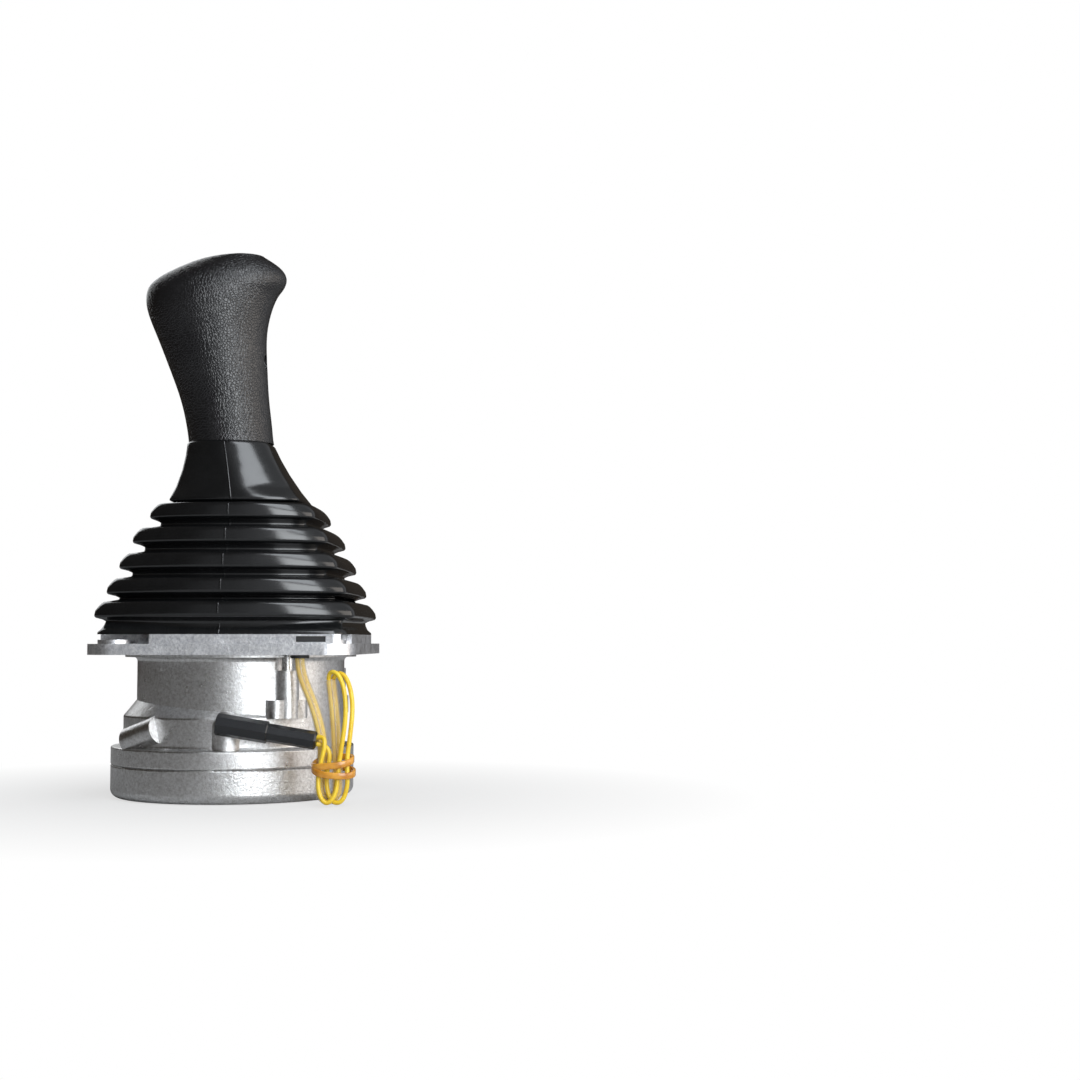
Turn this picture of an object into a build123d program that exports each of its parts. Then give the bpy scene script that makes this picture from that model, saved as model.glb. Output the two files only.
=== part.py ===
"""Hydraulic pilot joystick valve: a two-axis lever that pushes four pressure-reducing spools.

Millimetres. Origin at the centre of the base on its bottom face, +Z up the lever, -Y to the front.
"""
from build123d import *
from math import cos, radians, sin, tan
import os

os.makedirs("parts", exist_ok=True)


# ---------------------------------------------------------------- driving dimensions
# clearances
RUN_FIT = 0.05  # radial clearance of a pin, rod or spool in its bore
SLIP_FIT = 0.3  # clearance where a piece only has to drop in
PUSH_GAP = 0.3  # push rod tip to cam plate, lever upright

# base and casing
BASE_R = 55.5
BASE_SHIFT = 3.5  # the base sits this far to the left of the lever axis
BLOCK_H = 15.0
FLANGE_H = 8.2
CASE_TOP = 65.0
NECK_R = 47.5
SEAT_R = 53.0
SEAT_T = 1.2
SEAT_FILLET = 2.0
SHOULDER_R = 50.0
SHOULDER_Z = 37.0
SHOULDER_TOP_R = 43.5
SHOULDER_TOP_Z = 45.0
EDGE_ROUND = 4.0
CAST_ROUND = 1.5
JOINT_ROUND = 0.8

# mounting plate and the raised seat of the boot
PLATE_HALF = 59.0
PLATE_T = 4.8
BOLT_HALF = 46.5
BOLT_HOLE_R = 3.3
EAR_LIFT = 1.8
RIM_HALF = 56.0
RIM_H = 4.2
RIM_CORNER_R = 6.0
PAD_REACH = 8.0
POCKET_R = 8.5
OPENING_R = 42.0

# screws that hold the plate on the casing
CASE_SCREW_R = 48.5
CASE_SCREW_ANGLES = (-55.0, 35.0, 150.0)
M5_R = 2.5
M5_HEAD_R = 4.25
M5_HEAD_H = 5.0
BOSS_R = 5.2
BOSS_TOP = 58.0
FOOT_W = 19.0
FOOT_R = 52.5
FOOT_ROUND = 4.0
SCREW_GRIP = 12.0

# screws that hold the port block on the casing
BLOCK_SCREW_R = 47.0
BLOCK_SCREW_ANGLE = 22.0
M6_R = 3.0
M6_HEAD_R = 5.0
M6_HEAD_H = 6.0
M6_LENGTH = 20.0

# ports in the bottom face
PORT_R = 5.72
PORT_DEPTH = 11.0
SUPPLY_R = 37.0

# the four control lines
LINE_R = 22.0
TILT = 19.0
SPOOL_R = 3.0
SPOOL_TRAVEL = 1.6
ROD_R = 4.5
BUSH_R = 9.0
BUSH_H = 14.0
CHAMBER_R = 8.0
CHAMBER_FLOOR = 24.0
SEAT_REST_Z = 39.0
SEAT_DISC_T = 2.6
RETAINER_T = 3.5
ORING_R = 0.9
SEAL_H = 3.0
SEAL_R = 7.0

# universal joint, cam plate and lever
PIVOT_Z = 80.0
TRUNNION_R = 2.5
EAR_IN = 7.0
EAR_OUT = 11.0
EAR_R = 4.5
SPIDER_GAP = 1.2
EDGE_CUT = 0.7
HUB_RISE = 9.0
HUB_R = 12.0
HUB_T = 3.0
STUD_R = 6.0
STUD_REACH = 11.0
JOINT_FLANGE_R = 12.0
JOINT_FLANGE_T = 2.7
CAM_R = 30.0
CAM_T = 6.0
NUT_AF = 22.0
NUT_T = 6.0
ROD_SOCKET_R = 8.0
ROD_SOCKET_H = 17.0
LEVER_R = 6.0
BEND_Z = 129.5
RAKE = 10.0

# grip: evenly spaced level ovals, each with its centre, half width and half depth
GRIP_BOTTOM = 163.5
GRIP_STEP = 9.125
GRIP_OVALS = [
    (-6.0, 19.8, 18.0),
    (-7.2, 19.9, 17.8),
    (-8.8, 20.4, 17.9),
    (-10.7, 21.5, 18.3),
    (-12.7, 23.0, 18.9),
    (-14.7, 24.6, 19.5),
    (-16.4, 26.7, 20.3),
    (-17.0, 29.3, 21.0),
    (-14.6, 31.6, 20.0),
]
DOME_STEP = 3.975
DOME_OVALS = [
    (-14.6, 31.6, 20.0),
    (-12.1, 31.1, 18.8),
    (-9.3, 27.7, 16.6),
    (-7.0, 21.6, 13.4),
    (-1.2, 9.8, 9.2),
]

# thumb button with its bezel cap and switch in the top of the grip
BUTTON_X = -1.2
BUTTON_R = 6.0
BUTTON_TRAVEL = 1.8
BUTTON_SINK = 0.2
BUTTON_FLANGE_R = 7.4
BUTTON_FLANGE_T = 1.0
BUTTON_ROUND = 0.8
CAP_R = 8.6
CAP_H = 5.0
CAP_ROUND = 1.2
SWITCH_DROP = 2.1
SWITCH_H = 7.0
SWITCH_W = 10.4
SPRING_IN_R = 4.0
SPRING_OUT_R = 5.0

# clamp screw of the grip
LEVER_COVER = 24.5
GRIP_SCREW_RISE = 38.5
SCREW_HEAD_X = 6.0
M4_R = 2.0
M4_HEAD_R = 3.6
M4_HEAD_H = 2.2
CROSS_W = 0.9
CROSS_REACH = 2.9

# boot: half width and height of the lip under each ring, from the top ring down
RINGS = [(36.2, 127.3), (42.2, 116.0), (46.7, 104.6), (51.1, 92.8), (56.4, 81.9)]
LIP_H = 2.7
LIP_LEAN = 0.4
FOLD_DEPTH = 4.0
UNDERCUT = 1.8
BOOT_WALL = 1.8
BOOT_CORNER = 4.0
CONE_FOOT_HALF = 28.5
CONE_FOOT_Z = 135.5
CONE_TOP_HALF = 18.4
CONE_TOP_CORNER = 11.0
CONE_SHIFT = -6.0
SKIRT_HALF = 52.5
SKIRT_FOOT_HALF = 55.0
POCKET_TOP = 79.0

# lead, sleeve and connector
SLEEVE_D = 5.0
WIRE_D = 2.0
GROMMET_ANGLE = -55.3
GROMMET_GAP = 4.2
GROMMET_R = 4.2
GROMMET_HANG = 1.5
WINDOW_OFF = 5.5
WINDOW_W = 13.0
WINDOW_H = 2.6
WINDOW_INSET = 0.2


# ---------------------------------------------------------------- worked-out heights and places
FLANGE_TOP = BLOCK_H + FLANGE_H
PLATE_TOP = CASE_TOP + PLATE_T
RIM_TOP = PLATE_TOP + RIM_H
BUSH_Z = CASE_TOP - BUSH_H
RETAINER_TOP = CASE_TOP + RETAINER_T
JOINT_FLANGE_TOP = RETAINER_TOP + JOINT_FLANGE_T
CAM_Z = PIVOT_Z + HUB_RISE
CAM_TOP = CAM_Z + CAM_T
NUT_TOP = CAM_TOP + NUT_T
STUD_TOP = NUT_TOP + STUD_REACH
ROD_STROKE = LINE_R * tan(radians(TILT))
ROD_TIP = CAM_Z - PUSH_GAP
GRIP_SHOULDER = GRIP_BOTTOM + (len(GRIP_OVALS) - 1) * GRIP_STEP
GRIP_TOP = GRIP_SHOULDER + (len(DOME_OVALS) - 1) * DOME_STEP
LEVER_TOP = GRIP_SHOULDER - LEVER_COVER
GRIP_SCREW_Z = GRIP_BOTTOM + GRIP_SCREW_RISE
CAP_Z = GRIP_TOP - CAP_H
FLANGE_CLEAR_R = BUTTON_FLANGE_R + SLIP_FIT
BUTTON_FOOT_Z = CAP_Z + BUTTON_FLANGE_T - SLIP_FIT
SWITCH_TOP = CAP_Z - SWITCH_DROP
PLATE_CORNER_R = PLATE_HALF - BOLT_HALF
CORNER = BOLT_HALF
LINES = {"right": (LINE_R, 0.0), "rear": (0.0, LINE_R), "left": (-LINE_R, 0.0), "front": (0.0, -LINE_R)}
LINE_SPOTS = [(x, y) for x, y in LINES.values()]
BASE_CENTRE = (-BASE_SHIFT, 0.0)
GROMMET_OFF = SEAT_R + GROMMET_GAP + GROMMET_R
GROMMET_X = GROMMET_OFF * cos(radians(GROMMET_ANGLE))
GROMMET_Y = GROMMET_OFF * sin(radians(GROMMET_ANGLE))
WINDOW_X = GROMMET_X + WINDOW_OFF


def polar(radius, angle, centre=(0.0, 0.0)):
    return (centre[0] + radius * cos(radians(angle)), centre[1] + radius * sin(radians(angle)))


def quarter_turns(radius, angle, centre=(0.0, 0.0)):
    return [polar(radius, angle + 90.0 * k, centre) for k in range(4)]


CASE_SCREWS = [polar(CASE_SCREW_R, angle) for angle in CASE_SCREW_ANGLES]
BLOCK_SCREWS = quarter_turns(BLOCK_SCREW_R, BLOCK_SCREW_ANGLE, BASE_CENTRE)
SUPPLY_PORTS = [polar(SUPPLY_R, 225.0), polar(SUPPLY_R, 45.0)]


def save(builder, name):
    builder.part.label = name
    export_step(builder.part, f"parts/{name}.step")


# ---------------------------------------------------------------- port block
with BuildPart() as port_block:
    with BuildSketch():
        with Locations(BASE_CENTRE):
            Circle(BASE_R)
    extrude(amount=BLOCK_H)
    fillet(port_block.faces().sort_by(Axis.Z)[0].edges(), EDGE_ROUND)
    fillet(port_block.faces().sort_by(Axis.Z)[-1].edges(), JOINT_ROUND)
    # six threaded ports: one under each spool, supply and tank between them
    with BuildSketch():
        with Locations(*LINE_SPOTS, *SUPPLY_PORTS):
            Circle(PORT_R)
    extrude(amount=PORT_DEPTH, mode=Mode.SUBTRACT)
    # spool bores and the two passages up to the casing
    with BuildSketch():
        with Locations(*LINE_SPOTS, *SUPPLY_PORTS):
            Circle(SPOOL_R + RUN_FIT)
    extrude(amount=BLOCK_H, mode=Mode.SUBTRACT)
    # seal grooves round the spool bores in the joint face
    with BuildSketch(Plane.XY.offset(BLOCK_H)):
        with Locations(*LINE_SPOTS):
            Circle(SPOOL_R + 4 * ORING_R)
            Circle(SPOOL_R + 2 * ORING_R, mode=Mode.SUBTRACT)
    extrude(amount=-2 * ORING_R, mode=Mode.SUBTRACT)
    # counterbored screw holes from below
    with BuildSketch():
        with Locations(*BLOCK_SCREWS):
            Circle(M6_HEAD_R + SLIP_FIT)
    extrude(amount=M6_HEAD_H, mode=Mode.SUBTRACT)
    with BuildSketch():
        with Locations(*BLOCK_SCREWS):
            Circle(M6_R + SLIP_FIT)
    extrude(amount=BLOCK_H, mode=Mode.SUBTRACT)
save(port_block, "port_block")


# ---------------------------------------------------------------- casing
BASE_PROFILE = Plane(origin=(-BASE_SHIFT, 0, 0), x_dir=(1, 0, 0), z_dir=(0, -1, 0))
FRONT_BOSS = (2.0, -44.0)
FRONT_BOSS_R = 8.0
FRONT_BOSS_TOP = 41.0
SIDE_BOSS_R = 6.5
SIDE_BOSS_FOOT = (-44.0, -30.0, 26.0)
SIDE_BOSS_END = (-28.0, -41.0, 32.0)

with BuildPart(mode=Mode.PRIVATE) as casting:
    # neck with a flared seat for the mounting plate
    with BuildSketch(Plane.XZ):
        with BuildLine():
            Line((0, BLOCK_H), (NECK_R, BLOCK_H))
            Line((NECK_R, BLOCK_H), (NECK_R, CASE_TOP - SEAT_T - SEAT_FILLET))
            RadiusArc(
                (NECK_R, CASE_TOP - SEAT_T - SEAT_FILLET),
                (NECK_R + SEAT_FILLET, CASE_TOP - SEAT_T),
                SEAT_FILLET,
            )
            Line((NECK_R + SEAT_FILLET, CASE_TOP - SEAT_T), (SEAT_R, CASE_TOP - SEAT_T))
            Line((SEAT_R, CASE_TOP - SEAT_T), (SEAT_R, CASE_TOP))
            Line((SEAT_R, CASE_TOP), (0, CASE_TOP))
            Line((0, CASE_TOP), (0, BLOCK_H))
        make_face()
    revolve(axis=Axis.Z)
    # joint flange and the shoulder above it, set off to the left
    with BuildSketch(BASE_PROFILE) as side:
        with BuildLine():
            Polyline(
                (0, BLOCK_H),
                (BASE_R, BLOCK_H),
                (BASE_R, FLANGE_TOP),
                (SHOULDER_R, FLANGE_TOP),
                (SHOULDER_R, SHOULDER_Z),
                (SHOULDER_TOP_R, SHOULDER_TOP_Z),
                (0, SHOULDER_TOP_Z),
                close=True,
            )
        make_face()
        fillet(side.vertices().sort_by(Axis.X)[2:-2], CAST_ROUND)
        fillet(side.vertices().sort_by(Axis.X)[-2:], JOINT_ROUND)
    revolve(axis=Axis((-BASE_SHIFT, 0, 0), (0, 0, 1)))
    # screw bosses with their feet
    with BuildSketch(Plane.XY.offset(SHOULDER_Z)):
        with Locations(*CASE_SCREWS):
            Circle(BOSS_R)
    extrude(amount=BOSS_TOP - SHOULDER_Z)
    with BuildSketch(Plane.XY.offset(SHOULDER_Z)):
        for angle in CASE_SCREW_ANGLES:
            with Locations(Location((0, 0, 0), (0, 0, angle))):
                with Locations((FOOT_R / 2, 0)):
                    RectangleRounded(FOOT_R, FOOT_W, FOOT_ROUND)
        Circle(NECK_R / 2)
    extrude(amount=SHOULDER_TOP_Z - SHOULDER_Z)
    # round-topped boss in front and the slanting one beside it
    with BuildSketch(Plane.XY.offset(BLOCK_H)):
        with Locations(FRONT_BOSS):
            Circle(FRONT_BOSS_R)
    extrude(amount=FRONT_BOSS_TOP - FRONT_BOSS_R - BLOCK_H)
    with Locations((FRONT_BOSS[0], FRONT_BOSS[1], FRONT_BOSS_TOP - FRONT_BOSS_R)):
        Sphere(FRONT_BOSS_R)
    side_axis = Vector(*SIDE_BOSS_END) - Vector(*SIDE_BOSS_FOOT)
    with BuildSketch(Plane(origin=SIDE_BOSS_FOOT, z_dir=side_axis)):
        Circle(SIDE_BOSS_R)
    extrude(amount=side_axis.length)
    # pockets above the bosses, where the screws show, and their tapped holes
    with BuildSketch(Plane.XY.offset(BOSS_TOP)):
        with Locations(*CASE_SCREWS):
            Circle(BOSS_R + SLIP_FIT)
    extrude(amount=CASE_TOP - BOSS_TOP, mode=Mode.SUBTRACT)
    with BuildSketch(Plane.XY.offset(BOSS_TOP)):
        with Locations(*CASE_SCREWS):
            Circle(M5_R)
    extrude(amount=-SCREW_GRIP, mode=Mode.SUBTRACT)
    with BuildSketch(Plane.XY.offset(BLOCK_H)):
        with Locations(*BLOCK_SCREWS):
            Circle(M6_R)
    extrude(amount=M6_HEAD_H + M6_LENGTH - BLOCK_H, mode=Mode.SUBTRACT)
    # control lines: guide bush seat, spring chamber, spool bore
    with BuildSketch(Plane.XY.offset(CASE_TOP)):
        with Locations(*LINE_SPOTS):
            Circle(BUSH_R)
    extrude(amount=-BUSH_H, mode=Mode.SUBTRACT)
    with BuildSketch(Plane.XY.offset(BUSH_Z)):
        with Locations(*LINE_SPOTS):
            Circle(CHAMBER_R)
    extrude(amount=CHAMBER_FLOOR - BUSH_Z, mode=Mode.SUBTRACT)
    with BuildSketch(Plane.XY.offset(BLOCK_H)):
        with Locations(*LINE_SPOTS):
            Circle(SPOOL_R + RUN_FIT)
    extrude(amount=CHAMBER_FLOOR - BLOCK_H, mode=Mode.SUBTRACT)
    # supply and tank galleries, blind
    with BuildSketch(Plane.XY.offset(BLOCK_H)):
        with Locations(*SUPPLY_PORTS):
            Circle(SPOOL_R + RUN_FIT)
    extrude(amount=CHAMBER_FLOOR - BLOCK_H, mode=Mode.SUBTRACT)
    # tapped hole for the universal joint
    with BuildSketch(Plane.XY.offset(CASE_TOP)):
        Circle(STUD_R)
    extrude(amount=-(BUSH_H + STUD_R), mode=Mode.SUBTRACT)
    # clean joint face
    split(bisect_by=Plane.XY.offset(BLOCK_H), keep=Keep.TOP)

with BuildPart() as casing:
    add(casting.part)
    split(bisect_by=Plane.XY.offset(SHOULDER_TOP_Z), keep=Keep.BOTTOM)
save(casing, "casing")

with BuildPart() as casing_neck:
    add(casting.part)
    split(bisect_by=Plane.XY.offset(SHOULDER_TOP_Z), keep=Keep.TOP)
save(casing_neck, "casing_neck")


# ---------------------------------------------------------------- mounting plate
def bolt_pockets(reach):
    """Pockets round the four bolts: two long ones open to front and rear, two short ones to the sides."""
    with BuildSketch(mode=Mode.PRIVATE) as pockets:
        for side in (-1, 1):
            with Locations((side * CORNER, side * CORNER)):
                Circle(reach)
            with Locations((side * (CORNER - PAD_REACH), side * CORNER)):
                Circle(reach)
            with Locations((side * (CORNER - PAD_REACH / 2), side * (CORNER + PLATE_HALF / 2))):
                Rectangle(PAD_REACH + 2 * reach, PLATE_HALF)
            with Locations((side * (CORNER + PLATE_HALF / 2), side * CORNER)):
                Rectangle(PLATE_HALF, 2 * reach)
            with Locations((side * (CORNER - PAD_REACH / 2), side * CORNER)):
                Rectangle(PAD_REACH, 2 * reach)
            with Locations((side * CORNER, -side * CORNER)):
                Circle(reach)
            with Locations((side * (CORNER + PLATE_HALF / 2), -side * CORNER)):
                Rectangle(PLATE_HALF, 2 * reach)
    return pockets.sketch


with BuildPart() as mounting_plate:
    with BuildSketch(Plane.XY.offset(CASE_TOP)):
        RectangleRounded(2 * PLATE_HALF, 2 * PLATE_HALF, PLATE_CORNER_R)
    extrude(amount=PLATE_T)
    # raised seat of the boot, cut back round the bolt holes
    with BuildSketch(Plane.XY.offset(PLATE_TOP)):
        RectangleRounded(2 * RIM_HALF, 2 * RIM_HALF, RIM_CORNER_R)
        add(bolt_pockets(POCKET_R), mode=Mode.SUBTRACT)
    extrude(amount=RIM_H)
    # round ears that carry the bolts
    with BuildSketch(Plane.XY.offset(PLATE_TOP)):
        with GridLocations(2 * CORNER, 2 * CORNER, 2, 2):
            Circle(POCKET_R - SLIP_FIT)
    extrude(amount=EAR_LIFT)
    with BuildSketch(Plane.XY.offset(CASE_TOP)):
        with GridLocations(2 * CORNER, 2 * CORNER, 2, 2):
            Circle(BOLT_HOLE_R)
    extrude(amount=PLATE_T + EAR_LIFT, mode=Mode.SUBTRACT)
    # opening over the control lines
    with BuildSketch(Plane.XY.offset(CASE_TOP)):
        Circle(OPENING_R)
    extrude(amount=PLATE_T + RIM_H, mode=Mode.SUBTRACT)
    # counterbored screw holes
    with BuildSketch(Plane.XY.offset(CASE_TOP)):
        with Locations(*CASE_SCREWS):
            Circle(M5_R + SLIP_FIT)
    extrude(amount=PLATE_T + RIM_H, mode=Mode.SUBTRACT)
    with BuildSketch(Plane.XY.offset(RIM_TOP)):
        with Locations(*CASE_SCREWS):
            Circle(M5_HEAD_R + SLIP_FIT)
    extrude(amount=-M5_HEAD_H, mode=Mode.SUBTRACT)
    # window in the front wall and the cable hole behind it
    with BuildSketch(Plane.XZ.offset(RIM_HALF)):
        with Locations((WINDOW_X, PLATE_TOP + RIM_H / 2)):
            Rectangle(WINDOW_W, WINDOW_H)
    extrude(amount=-(RIM_HALF + GROMMET_Y), mode=Mode.SUBTRACT)
    with BuildSketch(Plane.XY.offset(CASE_TOP)):
        with Locations((GROMMET_X, GROMMET_Y)):
            Circle(GROMMET_R)
    extrude(amount=PLATE_T + RIM_H / 2, mode=Mode.SUBTRACT)
save(mounting_plate, "mounting_plate")


# ---------------------------------------------------------------- screws and seals of the housings
def cap_screw(spot, shank_r, head_r, head_h, length, top_z, up=True):
    """Socket-head screw with its head's outer face at top_z, pointing down (up=True) or up."""
    turn = 1 if up else -1
    with BuildPart(mode=Mode.PRIVATE) as screw:
        with BuildSketch(Plane.XY.offset(top_z)):
            with Locations(spot):
                Circle(head_r)
        extrude(amount=-turn * head_h)
        chamfer(screw.edges().sort_by(Axis.Z)[-1 if up else 0], head_h / 12)
        with BuildSketch(Plane.XY.offset(top_z)):
            with Locations(spot):
                RegularPolygon(shank_r * 0.9, 6)
        extrude(amount=-turn * head_h / 2, mode=Mode.SUBTRACT)
        with BuildSketch(Plane.XY.offset(top_z - turn * head_h)):
            with Locations(spot):
                Circle(shank_r)
        extrude(amount=-turn * length)
    return screw.part


def o_ring(spot, inner_r, z_mid):
    """O-ring of the common cord size, lying flat round spot."""
    with BuildPart(mode=Mode.PRIVATE) as ring:
        with Locations((spot[0], spot[1], z_mid)):
            Torus(inner_r + ORING_R, ORING_R)
    return ring.part


with BuildPart() as block_seals:
    for spot in LINE_SPOTS:
        add(o_ring(spot, SPOOL_R + 2 * ORING_R, BLOCK_H - ORING_R))
save(block_seals, "block_seals")

with BuildPart() as block_screws:
    for spot in BLOCK_SCREWS:
        add(cap_screw(spot, M6_R, M6_HEAD_R, M6_HEAD_H, M6_LENGTH, 0, up=False))
save(block_screws, "block_screws")

with BuildPart() as plate_screws:
    for spot in CASE_SCREWS:
        add(cap_screw(spot, M5_R, M5_HEAD_R, M5_HEAD_H, RIM_TOP - M5_HEAD_H - BOSS_TOP + SCREW_GRIP, RIM_TOP))
save(plate_screws, "plate_screws")


# ---------------------------------------------------------------- retaining plate
with BuildPart() as retaining_plate:
    with BuildSketch(Plane.XY.offset(CASE_TOP)):
        Circle(OPENING_R - SLIP_FIT)
        with Locations(*LINE_SPOTS):
            Circle(ROD_R + SLIP_FIT, mode=Mode.SUBTRACT)
        Circle(STUD_R + SLIP_FIT, mode=Mode.SUBTRACT)
    extrude(amount=RETAINER_T)
    # shallow dishes round the rods keep the boot clear of the seals
    with BuildSketch(Plane.XY.offset(RETAINER_TOP)):
        with Locations(*LINE_SPOTS):
            Circle(SEAL_R)
    extrude(amount=-RETAINER_T / 3, mode=Mode.SUBTRACT)
    chamfer(retaining_plate.faces().sort_by(Axis.Z)[-1].outer_wire().edges(), RETAINER_T / 5)
save(retaining_plate, "retaining_plate")


# ---------------------------------------------------------------- the four control lines
def guide_bush(spot):
    """Bush that closes a spring chamber and guides its push rod."""
    groove_z = BUSH_Z + BUSH_H / 3
    with BuildPart(mode=Mode.PRIVATE) as bush:
        with BuildSketch(Plane.XY.offset(BUSH_Z)):
            with Locations(spot):
                Circle(BUSH_R)
                Circle(ROD_R + RUN_FIT, mode=Mode.SUBTRACT)
        extrude(amount=BUSH_H)
        # groove for the O-ring in its wall
        with BuildSketch(Plane.XY.offset(groove_z - ORING_R)):
            with Locations(spot):
                Circle(BUSH_R)
                Circle(BUSH_R - 2 * ORING_R, mode=Mode.SUBTRACT)
        extrude(amount=2 * ORING_R, mode=Mode.SUBTRACT)
        # seat of the rod seal
        with BuildSketch(Plane.XY.offset(CASE_TOP)):
            with Locations(spot):
                Circle(SEAL_R)
        extrude(amount=-SEAL_H, mode=Mode.SUBTRACT)
    return bush.part


def push_rod(spot):
    """Hollow rod with a ball end; its foot carries the spring seat."""
    ball_z = ROD_TIP - ROD_R
    with BuildPart(mode=Mode.PRIVATE) as rod:
        with BuildSketch(Plane.XY.offset(SEAT_REST_Z)):
            with Locations(spot):
                Circle(ROD_R)
        extrude(amount=ball_z - SEAT_REST_Z)
        with Locations((*spot, ball_z)):
            Sphere(ROD_R)
        # blind bore that the spool's stem slides into
        with BuildSketch(Plane.XY.offset(SEAT_REST_Z)):
            with Locations(spot):
                Circle(SPOOL_R)
        extrude(amount=SEAT_DISC_T + ROD_STROKE, mode=Mode.SUBTRACT)
    return rod.part


def spring_seat(spot):
    """Disc on the foot of the push rod that both springs press on."""
    with BuildPart(mode=Mode.PRIVATE) as seat:
        with BuildSketch(Plane.XY.offset(SEAT_REST_Z)):
            with Locations(spot):
                Circle(CHAMBER_R - SLIP_FIT)
                Circle(ROD_R, mode=Mode.SUBTRACT)
        extrude(amount=SEAT_DISC_T)
        chamfer(seat.faces().sort_by(Axis.Z)[-1].outer_wire().edges(), SEAT_DISC_T / 4)
    return seat.part


SPOOL_FOOT_Z = PORT_DEPTH + SPOOL_TRAVEL + 2 * SLIP_FIT
COLLAR_R = 4.6
COLLAR_T = 2.0
COLLAR_Z = CHAMBER_FLOOR + SPOOL_TRAVEL + SLIP_FIT
STEM_R = 2.2


def spool(spot):
    """Metering spool with a waisted land, a collar for the inner spring and a stem."""
    with BuildPart(mode=Mode.PRIVATE) as body:
        with BuildSketch(Plane.XY.offset(SPOOL_FOOT_Z)):
            with Locations(spot):
                Circle(SPOOL_R)
        extrude(amount=COLLAR_Z - SPOOL_FOOT_Z)
        with BuildSketch(Plane.XY.offset(BLOCK_H + SPOOL_R)):
            with Locations(spot):
                Circle(SPOOL_R)
                Circle(STEM_R, mode=Mode.SUBTRACT)
        extrude(amount=SPOOL_R, mode=Mode.SUBTRACT)
        with BuildSketch(Plane.XY.offset(COLLAR_Z)):
            with Locations(spot):
                Circle(COLLAR_R)
        extrude(amount=COLLAR_T)
        with BuildSketch(Plane.XY.offset(COLLAR_Z + COLLAR_T)):
            with Locations(spot):
                Circle(STEM_R)
        extrude(amount=SEAT_REST_Z - COLLAR_Z - COLLAR_T + SLIP_FIT)
    return body.part


def coil_spring(spot, low_z, high_z, mean_r, wire, turns):
    """Compression spring of square wire."""
    rise = high_z - low_z - wire
    with BuildPart(mode=Mode.PRIVATE) as spring:
        with BuildLine() as coil:
            Helix(pitch=rise / turns, height=rise, radius=mean_r, center=(*spot, low_z + wire / 2))
        with BuildSketch(Plane(origin=coil.line @ 0, x_dir=(1, 0, 0), z_dir=coil.line % 0)):
            Rectangle(wire, wire)
        sweep(path=coil.line, is_frenet=True)
    return spring.part


OUTER_WIRE = 1.4
INNER_WIRE = 1.0
OUTER_TURNS = 4
INNER_TURNS = 4

for line, spot in LINES.items():
    with BuildPart() as piece:
        add(guide_bush(spot))
    save(piece, f"guide_bush_{line}")
    with BuildPart() as piece:
        add(push_rod(spot))
    save(piece, f"push_rod_{line}")
    with BuildPart() as piece:
        add(spring_seat(spot))
    save(piece, f"spring_seat_{line}")
    with BuildPart() as piece:
        add(spool(spot))
    save(piece, f"spool_{line}")
    with BuildPart() as piece:
        outer_mean_r = CHAMBER_R - SLIP_FIT - OUTER_WIRE / 2
        add(coil_spring(spot, CHAMBER_FLOOR, SEAT_REST_Z, outer_mean_r, OUTER_WIRE, OUTER_TURNS))
    save(piece, f"return_spring_{line}")
    with BuildPart() as piece:
        inner_mean_r = SPOOL_R + RUN_FIT + INNER_WIRE
        add(coil_spring(spot, COLLAR_Z + COLLAR_T, SEAT_REST_Z, inner_mean_r, INNER_WIRE, INNER_TURNS))
    save(piece, f"metering_spring_{line}")

with BuildPart() as bush_seals:
    for spot in LINE_SPOTS:
        add(o_ring(spot, BUSH_R - 2 * ORING_R, BUSH_Z + BUSH_H / 3))
save(bush_seals, "bush_seals")

with BuildPart() as rod_seals:
    with BuildSketch(Plane.XY.offset(CASE_TOP)):
        with Locations(*LINE_SPOTS):
            Circle(SEAL_R)
            Circle(ROD_R + RUN_FIT, mode=Mode.SUBTRACT)
    extrude(amount=-SEAL_H)
save(rod_seals, "rod_seals")


# ---------------------------------------------------------------- universal joint
def joint_ears(along, foot_z, pin_r):
    """Two ears across the pivot with their pin bores; along is the pins' plane normal."""
    with BuildPart(mode=Mode.PRIVATE) as ears:
        for low in (-EAR_OUT, EAR_IN):
            with BuildSketch(along.offset(low)) as outline:
                Circle(EAR_R)
                with Locations((0, (foot_z - PIVOT_Z) / 2)):
                    Rectangle(2 * EAR_R, abs(foot_z - PIVOT_Z))
                Circle(pin_r, mode=Mode.SUBTRACT)
            extrude(amount=EAR_OUT - EAR_IN)
    return ears.part


TILT_PLANE = Plane(origin=(0, 0, PIVOT_Z), x_dir=(0, 1, 0), z_dir=(1, 0, 0))
LEAN_PLANE = Plane(origin=(0, 0, PIVOT_Z), x_dir=(-1, 0, 0), z_dir=(0, 1, 0))

with BuildPart() as joint_base:
    with BuildSketch(Plane.XY.offset(RETAINER_TOP)):
        RegularPolygon(JOINT_FLANGE_R, 6)
    extrude(amount=JOINT_FLANGE_T)
    with BuildSketch(Plane.XY.offset(CASE_TOP - BUSH_H)):
        Circle(STUD_R)
    extrude(amount=RETAINER_TOP - CASE_TOP + BUSH_H)
    add(joint_ears(TILT_PLANE, JOINT_FLANGE_TOP, TRUNNION_R + RUN_FIT))
save(joint_base, "joint_base")

SPIDER_HALF = EAR_IN - SPIDER_GAP
with BuildPart() as spider:
    with Locations((0, 0, PIVOT_Z)):
        Box(2 * SPIDER_HALF, 2 * SPIDER_HALF, 2 * (EAR_R - EDGE_CUT))
        chamfer(spider.edges().filter_by(Axis.Z), 2 * EDGE_CUT)
    for plane in (TILT_PLANE, LEAN_PLANE):
        with BuildSketch(plane.offset(-EAR_OUT)):
            Circle(TRUNNION_R)
        extrude(amount=2 * EAR_OUT)
save(spider, "joint_spider")

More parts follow.
